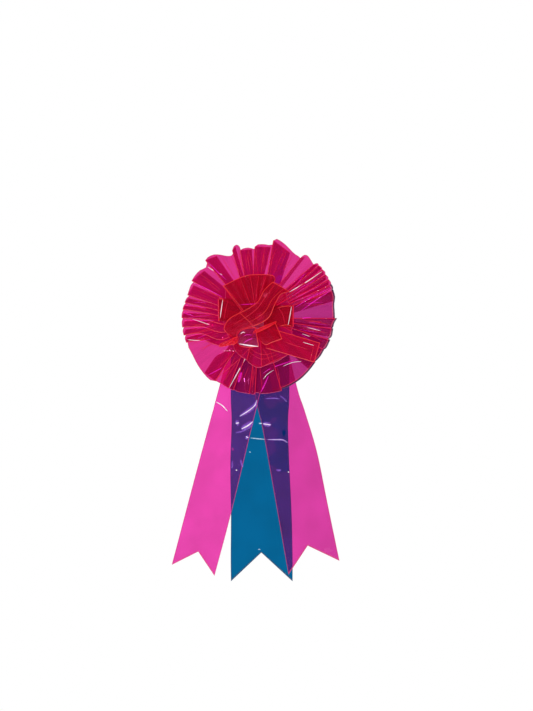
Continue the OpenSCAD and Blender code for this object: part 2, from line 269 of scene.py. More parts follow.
def milky_material(name, colour, clear_share):
    """Hot-melt glue: mostly clear, a little cloudy."""
    m = Nodes(name)
    clouds = m.noise(300, 3)
    cloud = m.add(
        "BsdfPrincipled",
        Base_Color=m.blend(clouds, scaled(colour, 0.85), colour),
        Roughness=0.25,
        Normal=m.bump(clouds, 0.0003, 0.4),
    )
    clear = m.add("BsdfTransparent", Color=(1, 0.96, 0.97, 1))
    return m.finish(m.mix(1 - clear_share, clear.outputs[0], cloud.outputs[0]))


def make_rosette_materials():
    """The pink film of the ruffles and the centre, its folds and its cut edges, with a darker copy of the
    film and a dark rim, both painted shade.
    """
    for values in (
        ("rosette_film", (0.7, 0.19, 0.49), (0.115, 0.0006, 0.008),
         (0.95, 0.02, 0.28), 0.03, 0.06, (1, 0.18, 0.55), 14),
        ("rosette_under", (0.58, 0.165, 0.47), (0.085, 0.0004, 0.085),
         (0.95, 0.02, 0.3), 0.03, 0.06, (1, 0.18, 0.55), 14),
        # A darker copy of the rosette film: painted shade on the pleats at the right.
        ("rosette_painted_shade", (0.55, 0.16, 0.43), (0.085, 0.0005, 0.012),
         (0.8, 0.02, 0.25), 0.03, 0.06, (1, 0.18, 0.6), 14),
        ("petal_film", (0.7, 0.13, 0.38), (0.05, 0.0002, 0.002),
         (0.95, 0.01, 0.1), 0.05, 0.22, (1, 0.15, 0.35), 14),
        ("knot_film", (0.8, 0.03, 0.12), (0.1, 0.0003, 0.008),
         (0.95, 0.02, 0.1), 0.1, 0.12, (1, 0.4, 0.5)),
        ("violet_film", (0.7, 0.08, 0.5), (0.03, 0.0004, 0.006),
         (0.9, 0.05, 0.5), 0.03, 0.12, (1, 0.4, 0.7)),
    ):
        film_material(*values)
    edge_material("rosette_fold", (0.8, 0.008, 0.055), (0.85, 0.3, 0.5), 0.6)
    edge_material("rosette_edge", (0.75, 0.02, 0.12), (0.85, 0.3, 0.5), 0.5)
    edge_material("petal_edge", (0.86, 0.03, 0.03), (0.85, 0.3, 0.5), 0.75)
    # A dark rim of painted shade, for the pleats at the right.
    edge_material("painted_shade_edge", (0.09, 0.003, 0.06), (0.5, 0.15, 0.5), 0.8)


def make_streamer_materials():
    """The streamers' pink and teal films and their cut edges; the right streamer's film and edge are
    darker copies of the left's, painted shade.
    """
    film_material(
        "left_film", (0.895, 0.212, 0.583), (0.018, 0.006, 0.05), (0.9, 0.5, 1), 0.01, 0.06, (1, 0.9, 1)
    )
    # A darker copy of the left film: painted shade.
    film_material(
        "right_film", (0.815, 0.185, 0.53), (0.018, 0.005, 0.045), (0.8, 0.4, 1), 0.01, 0.06, (1, 0.9, 1)
    )
    film_material(
        "blue_film", (0.002, 0.34, 0.53), (0, 0.004, 0.009), (0, 0.4, 0.7), 0.005, 0.06, (0.25, 0.8, 1)
    )
    edge_material("left_edge", (0.85, 0.03, 0.3), (0.85, 0.25, 0.58), 0.4)
    # A darker copy of the left edge: painted shade.
    edge_material("right_edge", (0.75, 0.02, 0.22), (0.8, 0.25, 0.52), 0.4)
    edge_material("blue_edge", (0, 0.06, 0.16), (0.01, 0.3, 0.5), 0.5)


def make_crease_materials():
    """Bright and soft painted highlights on the films' creases, and a painted violet sheen."""
    painted_highlight_material("painted_crease_highlight", (1, 0.88, 0.96), 0.92)
    painted_highlight_material("painted_soft_highlight", (1, 0.01, 0.6), 0.55, 1.2, 0.03)
    painted_highlight_material("violet_sheen", (0.36, 0.16, 0.9), 0.14, 1.0, 0.02)
    painted_highlight_material("painted_blue_highlight", (0.75, 0.85, 1), 0.5)


def make_backing_materials():
    """Everything behind the ruffles, and the pin."""
    twist_material("thread", (0.95, 0.32, 0.5))
    surface_material("felt", (0.5, 0.02, 0.16), (0.66, 0.05, 0.26), 1400, 0.95, bump=0.0006, sheen=0.6)
    surface_material("card", (0.8, 0.76, 0.74), (0.88, 0.86, 0.84), 900, 0.8, bump=0.0001)
    surface_material("tape", (0.74, 0.7, 0.6), (0.84, 0.8, 0.7), 1200, 0.7, bump=0.0002)
    surface_material("steel", (0.6, 0.59, 0.57), (0.72, 0.71, 0.69), 800, 0.22, 1.0, 0.00003, (1, 12, 12))
    surface_material("brass", (0.62, 0.4, 0.13), (0.78, 0.55, 0.22), 700, 0.25, 1.0, 0.00003, (1, 9, 9))
    surface_material("wire", (0.5, 0.5, 0.52), (0.66, 0.66, 0.68), 900, 0.35, 1.0, 0.00004, (9, 1, 9))
    milky_material("hot_melt", (0.95, 0.86, 0.88), 0.85)


# ---- Film meshes ----

# Each film piece has its material slots in this order, as far as it needs them.
# The two highlight slots hold painted highlights and sheens.
# The two shade slots hold painted shade.
FILM, FOLD, EDGE, PAINTED_HIGHLIGHT, PAINTED_SOFT_HIGHLIGHT, PAINTED_SHADE, UNDER, PAINTED_SHADE_FILM = range(8)
ROSETTE = (
    "rosette_film", "rosette_fold", "rosette_edge", "painted_crease_highlight", "painted_soft_highlight",
    "painted_shade_edge", "rosette_under", "rosette_painted_shade",
)
PETAL = ("petal_film", "rosette_fold", "petal_edge", "painted_crease_highlight", "painted_soft_highlight")
FRONT_LOOP = ("violet_film", *PETAL[1:])
KNOT = ("knot_film", *PETAL[1:])
LONG_LOOP = ("rosette_film", *PETAL[1:])


def resample(points, count):
    """count points evenly spaced along a smooth curve through points."""
    steps_per_span = 24
    pts = np.array(points, float)
    if len(pts) == 2:
        return np.array([pts[0] + (pts[1] - pts[0]) * t for t in np.linspace(0, 1, count)])
    ends = np.vstack([2 * pts[0] - pts[1], pts, 2 * pts[-1] - pts[-2]])
    dense = []
    for a, b, c, d in zip(ends, ends[1:], ends[2:], ends[3:]):
        square, cube = 2 * a - 5 * b + 4 * c - d, 3 * b - a - 3 * c + d
        for t in np.linspace(0, 1, steps_per_span, endpoint=False):
            dense.append(0.5 * (2 * b + (c - a) * t + square * t**2 + cube * t**3))
    dense.append(pts[-1])
    dense = np.array(dense)
    run = np.concatenate([[0], np.cumsum(np.linalg.norm(np.diff(dense, axis=0), axis=1))])
    at = np.linspace(0, run[-1], count)
    return np.stack([np.interp(at, run, dense[:, k]) for k in range(dense.shape[1])], axis=1)


def crumple(grid, size, height, seed):
    """Small dents in a film, as noise of some size and height along y."""
    for row in grid:
        for p in row:
            p[1] += height * noise.noise(Vector((p[0] / size, p[2] / size, seed)))


def pull(grid, centre, reach, shift):
    """A smooth local drag of a film along x and z, strongest at its centre."""
    for row in grid:
        for p in row:
            off = math.hypot(p[0] - centre[0], p[2] - centre[1]) / reach
            if off < 1:
                share = math.cos(off * math.pi / 2) ** 2
                p[0] += shift[0] * share
                p[2] += shift[1] * share


def film(
    name, grid, materials, closed=False, folds=(), cut=("u0", "u1", "v0", "v1"), shaded=(), slots=None
):
    """A closed film of FILM_T from a grid of its middle surface, grid[u][v], in millimetres.

    materials are named in the order of the slots above. folds are the u cells that lie on a fold, and
    cut names the sides whose last cells show a cut edge. On the shaded u cells the v1 edge is dark with
    painted shade, with a lit line inside it. slots gives the u cells whose film is not of the first slot.
    """
    slots = slots or {}
    n, m, _ = grid.shape
    lit_line = m - 4
    along = np.roll(grid, -1, 0) - np.roll(grid, 1, 0)
    if not closed:
        along[0] = grid[1] - grid[0]
        along[-1] = grid[-1] - grid[-2]
    across = np.gradient(grid, axis=1)
    normal = np.cross(along, across)
    normal /= np.maximum(np.linalg.norm(normal, axis=2, keepdims=True), 1e-9)
    sides = [grid + normal * FILM_T / 2, grid - normal * FILM_T / 2]
    bm = bmesh.new()
    verts = [[[bm.verts.new(in_frame(*p)) for p in row] for row in side] for side in sides]

    def face(corners, slot):
        made = bm.faces.new(corners)
        made.material_index = slot
        made.smooth = True

    last = n if closed else n - 1
    for i in range(last):
        k = (i + 1) % n
        for j in range(m - 1):
            at_side = {"u0": i == 0, "u1": i == last - 1, "v0": j == 0, "v1": j == m - 2}
            on_cut = any(at_side[side] for side in cut)
            slot = EDGE if on_cut else FOLD if i in folds else slots.get(i, FILM)
            if i in shaded and j >= lit_line:
                slot = EDGE if j == lit_line else PAINTED_SHADE
            a, b = verts
            face((a[i][j], a[k][j], a[k][j + 1], a[i][j + 1]), slot)
            face((b[i][j + 1], b[k][j + 1], b[k][j], b[i][j]), slot)
        for j in (0, m - 1):
            ring = (verts[0][i][j], verts[1][i][j], verts[1][k][j], verts[0][k][j])
            face(ring if j == 0 else ring[::-1], EDGE)
    if not closed:
        for i in (0, n - 1):
            for j in range(m - 1):
                ring = (verts[0][i][j], verts[0][i][j + 1], verts[1][i][j + 1], verts[1][i][j])
                face(ring if i == 0 else ring[::-1], EDGE)
    return finish_mesh(name, bm, materials)


def finish_mesh(name, bm, materials):
    """A new object from a finished bmesh."""
    bmesh.ops.recalc_face_normals(bm, faces=bm.faces)
    mesh = bpy.data.meshes.new(name)
    bm.to_mesh(mesh)
    bm.free()
    for key in materials:
        mesh.materials.append(MATERIALS[key])
    return place(name, mesh)


def add_creases(obj, creases):
    """Raises creases on the front of a film, some with painted highlights: each is (slot, width, height,
    (x, z) points).
    """
    step, steepest, far_in_front = 0.9, 0.35, -1000
    ridge = ((-1, 0), (-0.6, 0.7), (0, 1), (0.6, 0.7), (1, 0), (0, -0.3))
    bm = bmesh.new()
    bm.from_mesh(obj.data)
    tree = BVHTree.FromBMesh(bm)
    for slot, width, height, points in creases:
        length = sum(math.dist(p, q) for p, q in zip(points, points[1:]))
        path = resample(points, max(6, int(length / step)))
        last = None
        rings = []
        for k, (x, z) in enumerate(path):
            hit = tree.ray_cast(in_frame(x, far_in_front, z), Vector((0, 1, 0)))[0]
            y = hit.y / MM if hit else last
            if y is None:
                continue
            last = y if last is None else last + max(-steepest, min(steepest, y - last))
            way = path[min(k + 1, len(path) - 1)] - path[max(k - 1, 0)]
            way = way / np.linalg.norm(way)
            swell = math.sin(math.pi * (k + 0.5) / len(path)) ** 0.5
            ring = []
            for across, up in ridge:
                off = across * width / 2 * swell
                corner = in_frame(x - way[1] * off, last - height * swell * up, z + way[0] * off)
                ring.append(bm.verts.new(corner))
            rings.append(ring)
        for a, b in zip(rings, rings[1:]):
            for i in range(len(a)):
                j = (i + 1) % len(a)
                made = bm.faces.new((a[i], a[j], b[j], b[i]))
                made.material_index = slot
                made.smooth = True
        for ring in (rings[0][::-1], rings[-1]):
            bm.faces.new(ring).material_index = slot
    bmesh.ops.recalc_face_normals(bm, faces=bm.faces)
    bm.to_mesh(obj.data)
    bm.free()


def shares(length, cells, rim):
    """Shares of a length at which a grid is cut, with a cell of rim at both ends."""
    edge = rim / length
    return np.concatenate([[0], np.linspace(edge, 1 - edge, cells - 1), [1]])


# ---- Ruffles ----

BEND_STEPS = 4
RUN_POINTS = 12


def polar(angle, radius):
    """A point at an angle in degrees clockwise from the top."""
    return np.array([radius * math.sin(math.radians(angle)), radius * math.cos(math.radians(angle))])


def along_line(points, distance):
    """The point at a distance along a polyline."""
    left = distance
    for a, b in zip(points, points[1:]):
        step = np.linalg.norm(b - a)
        if left <= step:
            return a + (b - a) * left / step
        left -= step
    return points[-1]


def fold_path(panels, front, back, bend_r):
    """A folded line, as [x, y, z] rows, and the cells that lie on its folds.

    Each panel is the list of points from a front fold to the back fold under the next panel.
    """
    rows, folds = [], []
    for number, panel in enumerate(panels):
        following = panels[(number + 1) % len(panels)]
        y_front = front[number]
        y_next = front[(number + 1) % len(panels)]
        y_back = back[number]
        run = resample(panel, RUN_POINTS)
        start = (run[1] - run[0]) / np.linalg.norm(run[1] - run[0])
        end = (run[-1] - run[-2]) / np.linalg.norm(run[-1] - run[-2])
        for k in range(BEND_STEPS):
            turn = math.pi * k / BEND_STEPS
            flat = run[0] - start * bend_r * math.sin(turn)
            folds.append(len(rows))
            rows.append([flat[0], y_front + bend_r + bend_r * math.cos(turn), flat[1]])
        for k, flat in enumerate(run):
            t = k / (RUN_POINTS - 1)
            rows.append([flat[0], y_front + (y_back - y_front) * t, flat[1]])
        for k in range(1, BEND_STEPS + 1):
            turn = math.pi * k / BEND_STEPS
            flat = run[-1] + end * bend_r * math.sin(turn)
            rows.append([flat[0], y_back - bend_r + bend_r * math.cos(turn), flat[1]])
        for t in (0.25, 0.5, 0.75):
            flat = run[-1] + (np.array(following[0]) - run[-1]) * t
            y_from = y_back - 2 * bend_r
            y_to = y_next + 2 * bend_r
            rows.append([flat[0], y_from + (y_to - y_from) * t, flat[1]])
    return np.array(rows), set(folds)


def ruffle(
    name, pleats, hole_r, y_back, depth, rim_forward, seed,
    cells=13, shaded_pleats=(), painted_shade_pleats=(), pulls=(),
):
    """A knife-pleated ring, dragged aside at its pulls.

    Each pleat is (rim point of its front fold, direction of that fold at the hole, the rim on to
    the next fold, how far the film goes on under the next pleat at the rim and at the hole). The
    shaded pleats have a dark rim of painted shade, and the painted-shade pleats a darker film, also
    painted shade.
    """
    rim_bend_r, hole_bend_r = 0.45, 0.35
    # How much of the rim's reach forward the back folds have, and of the depth the hole has.
    back_share, hole_share = 0.6, 0.7
    # How far in from the rim the cut edge, the dark strip of painted shade and the lit line end.
    edge_to, dark_to, lit_to = 0.4, 1.3, 1.9
    rims, holes = [], []
    count = len(pleats)
    runs = [[np.array(q, float) for q in (p[0], *p[2])] for p in pleats]
    for number, (_, hole_angle, _, tuck_rim, tuck_hole) in enumerate(pleats):
        following = (number + 1) % count
        next_rim = runs[following]
        next_angle = pleats[following][1] + (360 if following == 0 else 0)
        shrink = 0.975 + 0.012 * math.sin(5.1 * number + seed)
        tucked = along_line(next_rim, tuck_rim) * shrink
        near = along_line(next_rim, 1.0) * shrink
        rims.append([*runs[number], near, tucked])
        tuck_angle = math.degrees(tuck_hole / hole_r)
        holes.append([polar(a, hole_r) for a in np.linspace(hole_angle, next_angle + tuck_angle, 4)])
    wobble = [0.8 * math.sin(2.3 * k + seed) + 0.5 * math.sin(4.7 * k) for k in range(count)]
    front = [y_back - depth + w for w in wobble]
    back = [y_back + 0.4 * w for w in wobble]
    rim_front = [y - rim_forward for y in front]
    rim_back = [y - rim_forward * back_share for y in back]
    rim_rows, folds = fold_path(rims, rim_front, rim_back, rim_bend_r)
    hole_front = [y_back - depth * hole_share] * count
    hole_rows, _ = fold_path(holes, hole_front, [y_back] * count, hole_bend_r)
    length = float(np.mean(np.linalg.norm(rim_rows - hole_rows, axis=1)))
    stops = list(shares(length, cells, edge_to))
    stops[-2:-2] = [1 - lit_to / length, 1 - dark_to / length]
    grid = np.stack([hole_rows + (rim_rows - hole_rows) * v for v in stops], axis=1)
    for centre, reach, shift in pulls:
        pull(grid, centre, reach, shift)
    crumple(grid, 11, 1.0, seed)
    crumple(grid, 4.5, 0.35, seed + 5)
    cells_each = len(rim_rows) // count
    # Painted shade: a dark rim on the shaded pleats and a darker film on the painted-shade pleats.
    shaded, slots = set(), {}
    for i in range(len(rim_rows)):
        number = i // cells_each
        if number in shaded_pleats:
            shaded.add(i)
        if i % cells_each > BEND_STEPS + RUN_POINTS:
            slots[i] = UNDER
        elif number in painted_shade_pleats:
            slots[i] = PAINTED_SHADE_FILM
    return film(name, grid, ROSETTE, closed=True, folds=folds, cut=("v1",), shaded=shaded, slots=slots)


OUTER_PLEATS = [
    ((-21.5, 54), -42, [(-20.5, 57), (-18, 58.5), (-15.8, 57)], 9, 5),
    ((-15, 54), -36, [(-12, 55.5), (-8, 56), (-4, 55)], 13, 5),
    ((-3, 57), -24, [(-1.5, 58.5), (4, 58.8), (10, 58)], 17, 9),
    ((12, 62), 15, [(15, 63), (21.5, 58.5), (28.5, 51.5), (32.5, 49)], 4, 3),
    ((34.5, 48.5), 24, [(37, 50.2), (40, 49), (44, 43)], 4, 5),
    ((44.5, 42.5), 38, [(46.5, 43.3), (48, 43)], 3.4, 4),
    ((48.8, 41.5), 46, [(51.0, 39.8)], 3.4, 4),
    ((51.8, 38), 53, [(53.8, 36)], 3.4, 4),
    ((54.3, 34), 59, [(56.2, 31.8)], 3.4, 4),
    ((56.8, 30), 64, [(58.4, 27.6)], 3.4, 4),
    ((58.8, 26), 69, [(60, 24)], 8, 4),
    ((60.3, 21.5), 76, [(61.7, 16), (61, 10), (61.5, 3)], 7, 5),
    ((63, -1.5), 96, [(61, -5), (60, -8.5)], 8, 5),
    ((60, -10), 104, [(58.8, -16)], 8, 5),
    ((57.5, -19), 112, [(56, -22.5), (54, -25.8)], 8, 5),
    ((52.5, -27), 120, [(50, -31.5), (47, -35)], 7, 5),
    ((45.5, -37), 130, [(43, -40.5), (39, -45.3), (33, -51), (25, -56)], 6, 4),
    ((18, -60), 160, [(11, -61.5), (3, -62.3)], 4, 3),
    ((-3.5, -62.6), 184, [(-6, -62.7)], 4, 2),
    ((-8, -62.4), 190, [(-14, -61.3), (-19, -60)], 3, 2),
    ((-21, -59.3), 200, [(-23, -58.6)], 5, 3),
    ((-25, -57.8), 210, [(-28, -56), (-31, -54)], 11, 12),
    ((-35.5, -52), 222,
     [(-38, -52), (-41, -50), (-45.5, -45), (-50, -38.5), (-54.3, -30), (-57.5, -24)], 6, 5),
    ((-59, -20.5), 227, [(-60, -17.5)], 8, 4),
    ((-61, -14.5), 236, [(-61.7, -11)], 8, 4),
    ((-62.2, -8), 246, [(-62.5, -4)], 8.5, 4),
    ((-62.6, -0.5), 256, [(-62.4, 3)], 8, 4),
    ((-61.8, 6.5), 265, [(-61, 9)], 9, 4),
    ((-60, 12), 274, [(-58.8, 15)], 12.5, 5),
    ((-57.8, 18), 281, [(-56.5, 22), (-55, 26)], 12, 5),
    ((-54.3, 29.5), 291, [(-51.5, 34), (-47.5, 38), (-43, 40.2)], 9, 5),
    ((-43.2, 46), 303, [(-41, 48.6), (-36.5, 50.5), (-31, 50.3), (-26, 49.4), (-21.5, 50)], 4, 3),
]

INNER_PLEATS = [
    ((-29, 25), -60, [(-22, 28.5), (-14, 32)], 9, 4),
    ((-12.5, 31), -25, [(-8, 33), (0, 34), (9, 33.5)], 7, 4),
    ((12, 28), 15, [(17, 26), (22, 19)], 5, 4),
    ((23, 14), 55, [(25, 9), (26, 3)], 5, 3),
    ((27, 1), 85, [(27, -4), (27, -9)], 5, 3),
    ((27, -12), 110, [(26, -18), (24, -25)], 6, 4),
    ((23, -31), 140, [(15, -36), (8, -38.5), (4, -40)], 8, 3),
    ((2, -41), 175, [(-2, -41), (-8, -37.5)], 5, 3),
    ((-10, -35), 205, [(-16, -31), (-20, -26)], 5, 3),
    ((-21, -23), 235, [(-24, -17), (-27, -11)], 5, 3),
    ((-28, -8), 262, [(-29, -3), (-29, 3)], 5, 3),
    ((-28, 6), 280, [(-28, 12), (-27, 18)], 5, 3),
]


def fine_folds(width, paths):
    """Fine fold lines of one width."""
    return [(FOLD, width, 0.3, path) for path in paths]


def radial_creases(slot, first, last, count, inner, outer, width, seed):
    """Fine pleat lines of uneven lengths, at uneven angles and a little aslant."""
    made = []
    for k in range(count):
        jitter = math.sin(12.9 * k + seed)
        angle = first + (last - first) * (k + 0.35 * jitter) / max(1, count - 1)
        start = inner + 4 * math.sin(7.3 * k + seed)
        stop = outer - 3 - 3 * math.cos(5.1 * k + seed)
        lean = 3 * math.sin(3.7 * k + seed)
        path = [tuple(polar(angle + lean * t, start + (stop - start) * t)) for t in (0, 0.5, 1)]
        made.append((slot, width, 0.3, path))
    return made


OUTER_CREASES = [
    (PAINTED_HIGHLIGHT, 0.7, 0.5, [(24.4, 20), (38, 28), (50.9, 36.7)]),
    (PAINTED_SOFT_HIGHLIGHT, 0.8, 0.5, [(34.2, 5), (46, 13.5), (58.2, 21.3)]),
    (PAINTED_SOFT_HIGHLIGHT, 0.6, 0.4, [(29.1, 7.6), (44, 16.5), (59, 23.9)]),
    (PAINTED_HIGHLIGHT, 0.7, 0.5, [(-8.6, -29.2), (-15, -41), (-24, -57.4)]),
    (PAINTED_SOFT_HIGHLIGHT, 2.6, 0.8, [(-14.2, -45), (-15.4, -48.8), (-16.5, -53)]),
    (PAINTED_HIGHLIGHT, 0.45, 0.5, [(34.2, -36), (27, -37), (19.7, -39.9)]),
    (PAINTED_HIGHLIGHT, 0.4, 0.5, [(12, -43), (7, -46.3), (3.4, -50.5)]),
    (PAINTED_SOFT_HIGHLIGHT, 0.8, 0.6, [(31, -34.5), (24, -36.5), (10, -41.5), (3, -46)]),
    (PAINTED_SOFT_HIGHLIGHT, 1.1, 0.6, [(7.7, -48), (3.4, -57.4), (1.5, -61)]),
    (PAINTED_SOFT_HIGHLIGHT, 1.1, 0.5, [(35, -1.2), (42, -0.6)]),
    (PAINTED_HIGHLIGHT, 0.35, 0.4, [(39.3, -8.6), (49.6, -11.2)]),
    (PAINTED_HIGHLIGHT, 0.35, 0.4, [(35.2, -13.8), (41.2, -15.9)]),
    (PAINTED_HIGHLIGHT, 0.7, 0.5, [(-41.5, 40.5), (-36, 37), (-29.9, 34.1)]),
    (PAINTED_SOFT_HIGHLIGHT, 0.6, 0.4, [(-41.5, 44.5), (-33, 36), (-26.5, 30)]),
    (PAINTED_SOFT_HIGHLIGHT, 0.6, 0.4, [(-61.2, 3.3), (-53, 0.8)]),
    (PAINTED_HIGHLIGHT, 0.45, 0.4, [(-53.9, -1.8), (-47, -4), (-40.2, -6.5)]),
    (PAINTED_HIGHLIGHT, 0.4, 0.4, [(-57.7, -18.5), (-52, -19), (-47, -19.3)]),
    (PAINTED_SOFT_HIGHLIGHT, 0.7, 0.4, [(-53.9, 28.1), (-42, 22.5), (-29.9, 16.2)]),
    (PAINTED_SOFT_HIGHLIGHT, 0.6, 0.3, [(-41.1, -47.1), (-35, -44), (-29.9, -41.1)]),
    (FOLD, 0.5, 0.3, [(-35.9, -51.4), (-25, -42), (-12.8, -31.7)]),
    *fine_folds(0.4, [
        [(16.5, -59), (16.5, -50), (14.5, -40)],
        [(-5.5, -61), (-5.2, -50), (-4, -41)],
        [(27, 50.5), (24, 44), (19, 36)],
        [(-55, -10.5), (-44, -8.5), (-34, -7)],
        [(-50, 36), (-41, 30), (-31, 21.5)],
        [(-30, 48), (-25, 40), (-19, 31)],
        [(-9, 55), (-8.5, 45), (-7, 36)],
        [(5, 57), (3, 46), (2, 36)],
        [(57.5, -6), (45, -4), (33, -2)],
        [(-59.5, -14), (-48, -12.5), (-36, -10.5)],
    ]),
]

# Slot, first and last angle, number, inner and outer radius and width of each bundle of pleat lines.
PLEAT_LINES = [
    (FOLD, 238, 284, 15, 36, 60, 0.35),
    (PAINTED_SOFT_HIGHLIGHT, 243, 287, 7, 40, 58, 0.3),
    (FOLD, 288, 308, 5, 38, 58, 0.3),
    (FOLD, 338, 371, 12, 37, 57, 0.35),
    (FOLD, 376, 388, 4, 38, 60, 0.3),
    (FOLD, 46, 76, 10, 36, 58, 0.35),
    (PAINTED_SOFT_HIGHLIGHT, 44, 74, 8, 34, 57, 0.35),
    (FOLD, 92, 122, 10, 36, 57, 0.35),
    (PAINTED_SOFT_HIGHLIGHT, 95, 120, 5, 38, 56, 0.3),
    (FOLD, 180, 216, 9, 40, 59, 0.35),
]
for seed, bundle in enumerate(PLEAT_LINES, 1):
    OUTER_CREASES += radial_creases(*bundle, seed)

INNER_CREASES = fine_folds(0.45, [
    [(-8, -24.5), (-2, -29), (5, -30.5), (13, -28.5)],
    [(-8.5, -28), (-2, -32.5), (5, -34), (16, -30)],
    [(1.7, -40.8), (10, -36.5), (20.5, -32)],
    [(9, -37), (6, -30), (3, -25)],
    [(-14, -32), (-9, -27), (-5, -23)],
])

# Creases of the centre's pieces, by piece.
CENTRE_CREASES = {
    "front_loop_film": [
        (PAINTED_HIGHLIGHT, 1.05, 0.7, [(-15.8, -21.9), (-8, -23.2), (-0.5, -24)]),
        (PAINTED_HIGHLIGHT, 0.6, 0.5, [(-14.5, -13.8), (-12.8, -12.6), (-11.2, -13)]),
        (PAINTED_SOFT_HIGHLIGHT, 0.8, 0.5, [(-12.5, -21.5), (-9, -19), (-5, -17.5)]),
        (PAINTED_SOFT_HIGHLIGHT, 0.6, 0.4, [(-12, -15.5), (-9, -14.5), (-6, -15)]),
    ],
    "crushed_end_film": [
        (EDGE, 0.5, 0.5, [(-16, -18), (-19, -21), (-22, -19.5), (-26, -22.5), (-30, -22.5)]),
        (FOLD, 0.5, 0.5, [(-17, -19.5), (-20, -18), (-24, -21.5), (-27, -21), (-31, -23.5)]),
        (FOLD, 0.6, 0.6, [(-18, -17), (-21, -22), (-25, -19.5), (-29, -23.5)]),
    ],
    "left_loop_film": [
        (PAINTED_HIGHLIGHT, 0.6, 0.5, [(-29.2, 13.5), (-30.3, 6), (-31.2, -1)]),
        (EDGE, 0.6, 0.4, [(-32.6, 14.3), (-29, 14.2), (-28.4, 12)]),
        (EDGE, 0.6, 0.4, [(-31.4, -1), (-32.4, -3)]),
        (FOLD, 0.5, 0.4, [(-25, 13), (-27, 5), (-28, -2)]),
        (FOLD, 0.5, 0.4, [(-10, 11), (-15, 4), (-20, -1)]),
    ],
    "right_loop_film": [
        (PAINTED_HIGHLIGHT, 0.55, 0.5, [(26.2, 8), (25, 1), (23.5, -6.9)]),
        (EDGE, 0.6, 0.4, [(15.4, 7.2), (21, 8.4), (27.4, 8.6)]),
        (EDGE, 0.6, 0.4, [(17, -7.6), (22, -6.6), (26.5, -7.8)]),
        (FOLD, 0.5, 0.4, [(15.4, 7.6), (19, 2), (21, -6)]),
    ],
    "long_loop_film": [
        (PAINTED_HIGHLIGHT, 0.4, 0.4, [(35.5, -20.6), (40, -21.9), (44.5, -23.2)]),
        (FOLD, 0.6, 0.4, [(44.3, -23), (42.6, -30), (41, -36)]),
        (FOLD, 0.5, 0.4, [(20, -20), (30, -23.5), (40, -26.5)]),
    ],
    "upper_petal_film": [
        (FOLD, 0.5, 0.3, [(-28.7, 24.7), (-18, 10), (-8, -2)]),
        (FOLD, 0.5, 0.3, [(-7, 32.5), (-5, 20), (-3, 6)]),
        (FOLD, 0.4, 0.3, [(0, 33.5), (-2, 20), (-2.5, 8)]),
        (FOLD, 0.4, 0.3, [(-15, 31), (-10, 18), (-5, 6)]),
        (FOLD, 0.4, 0.3, [(6, 33), (1.5, 20), (-1, 9)]),
        (PAINTED_SOFT_HIGHLIGHT, 0.5, 0.4, [(-17, 9.4), (-8, 10), (1, 10.6)]),
    ],
    "centre_band_film": [
        (FOLD, 0.5, 0.3, [(13, 26), (6, 17), (0, 8), (-8, 1), (-20, -6)]),
        (EDGE, 0.4, 0.3, [(19, 22), (11, 14), (5, 4), (-3, -2), (-8, -4.5)]),
        (EDGE, 0.45, 0.3, [(-16.5, 4), (-9.5, -2.5), (-3.8, -8)]),
    ],
}


def make_ruffles():
    """The two pleated rings, each of one strip."""
    outer = ruffle(
        "outer_ruffle_film", OUTER_PLEATS, hole_r=14, y_back=back_of("outer_ruffle") - 0.6, depth=4.2,
        # Pleats 10 to 16 get a dark rim and pleats 11 to 20 a darker film, both painted shade.
        rim_forward=2.5, seed=1.0, shaded_pleats=range(10, 17), painted_shade_pleats=range(11, 21),
        pulls=[((-29, -15), 21, (0, -9))],
    )
    add_creases(outer, OUTER_CREASES)
    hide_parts("outer_ruffle")
    inner = ruffle(
        "inner_ruffle_film", INNER_PLEATS, hole_r=8.5, y_back=back_of("inner_ruffle") - 2.2, depth=3.0,
        rim_forward=1.5, seed=3.0, cells=11,
    )
    add_creases(inner, INNER_CREASES)
    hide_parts("inner_ruffle")
    for obj, width in ((outer, 0.05), (inner, 0.028)):
        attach(obj, "rosette")


# ---- Centre ----


def between(
    name, one, other, seed, cells_along=26, cells_across=9, cup=0.0, wave=0.0, waves=5, materials=PETAL
):
    """A film between two edges, each given as (x, z, y) points.

    cup bulges its middle forwards, and wave is the height of the waves along its other edge.
    """
    a = resample([(p[0], p[2], p[1]) for p in one], cells_along + 1)
    b = resample([(p[0], p[2], p[1]) for p in other], cells_along + 1)
    length = max(float(np.sum(np.linalg.norm(edge[1:] - edge[:-1], axis=1))) for edge in (a, b))
    stops = shares(length, cells_along, EDGE_W * 1.1)
    even = np.linspace(0, 1, cells_along + 1)
    a = np.stack([np.interp(stops, even, a[:, k]) for k in range(3)], axis=1)
    b = np.stack([np.interp(stops, even, b[:, k]) for k in range(3)], axis=1)
    width = float(np.mean(np.linalg.norm(b - a, axis=1)))
    across = shares(width, cells_across, EDGE_W)
    grid = np.stack([a + (b - a) * v for v in across], axis=1)
    for i, stop in enumerate(stops):
        for j, v in enumerate(across):
            grid[i][j][1] -= cup * math.sin(math.pi * v)
            grid[i][j][1] += wave * v * math.sin(2 * math.pi * waves * stop + seed)
    crumple(grid, 6, 0.6, seed)
    return film(name, grid, materials)


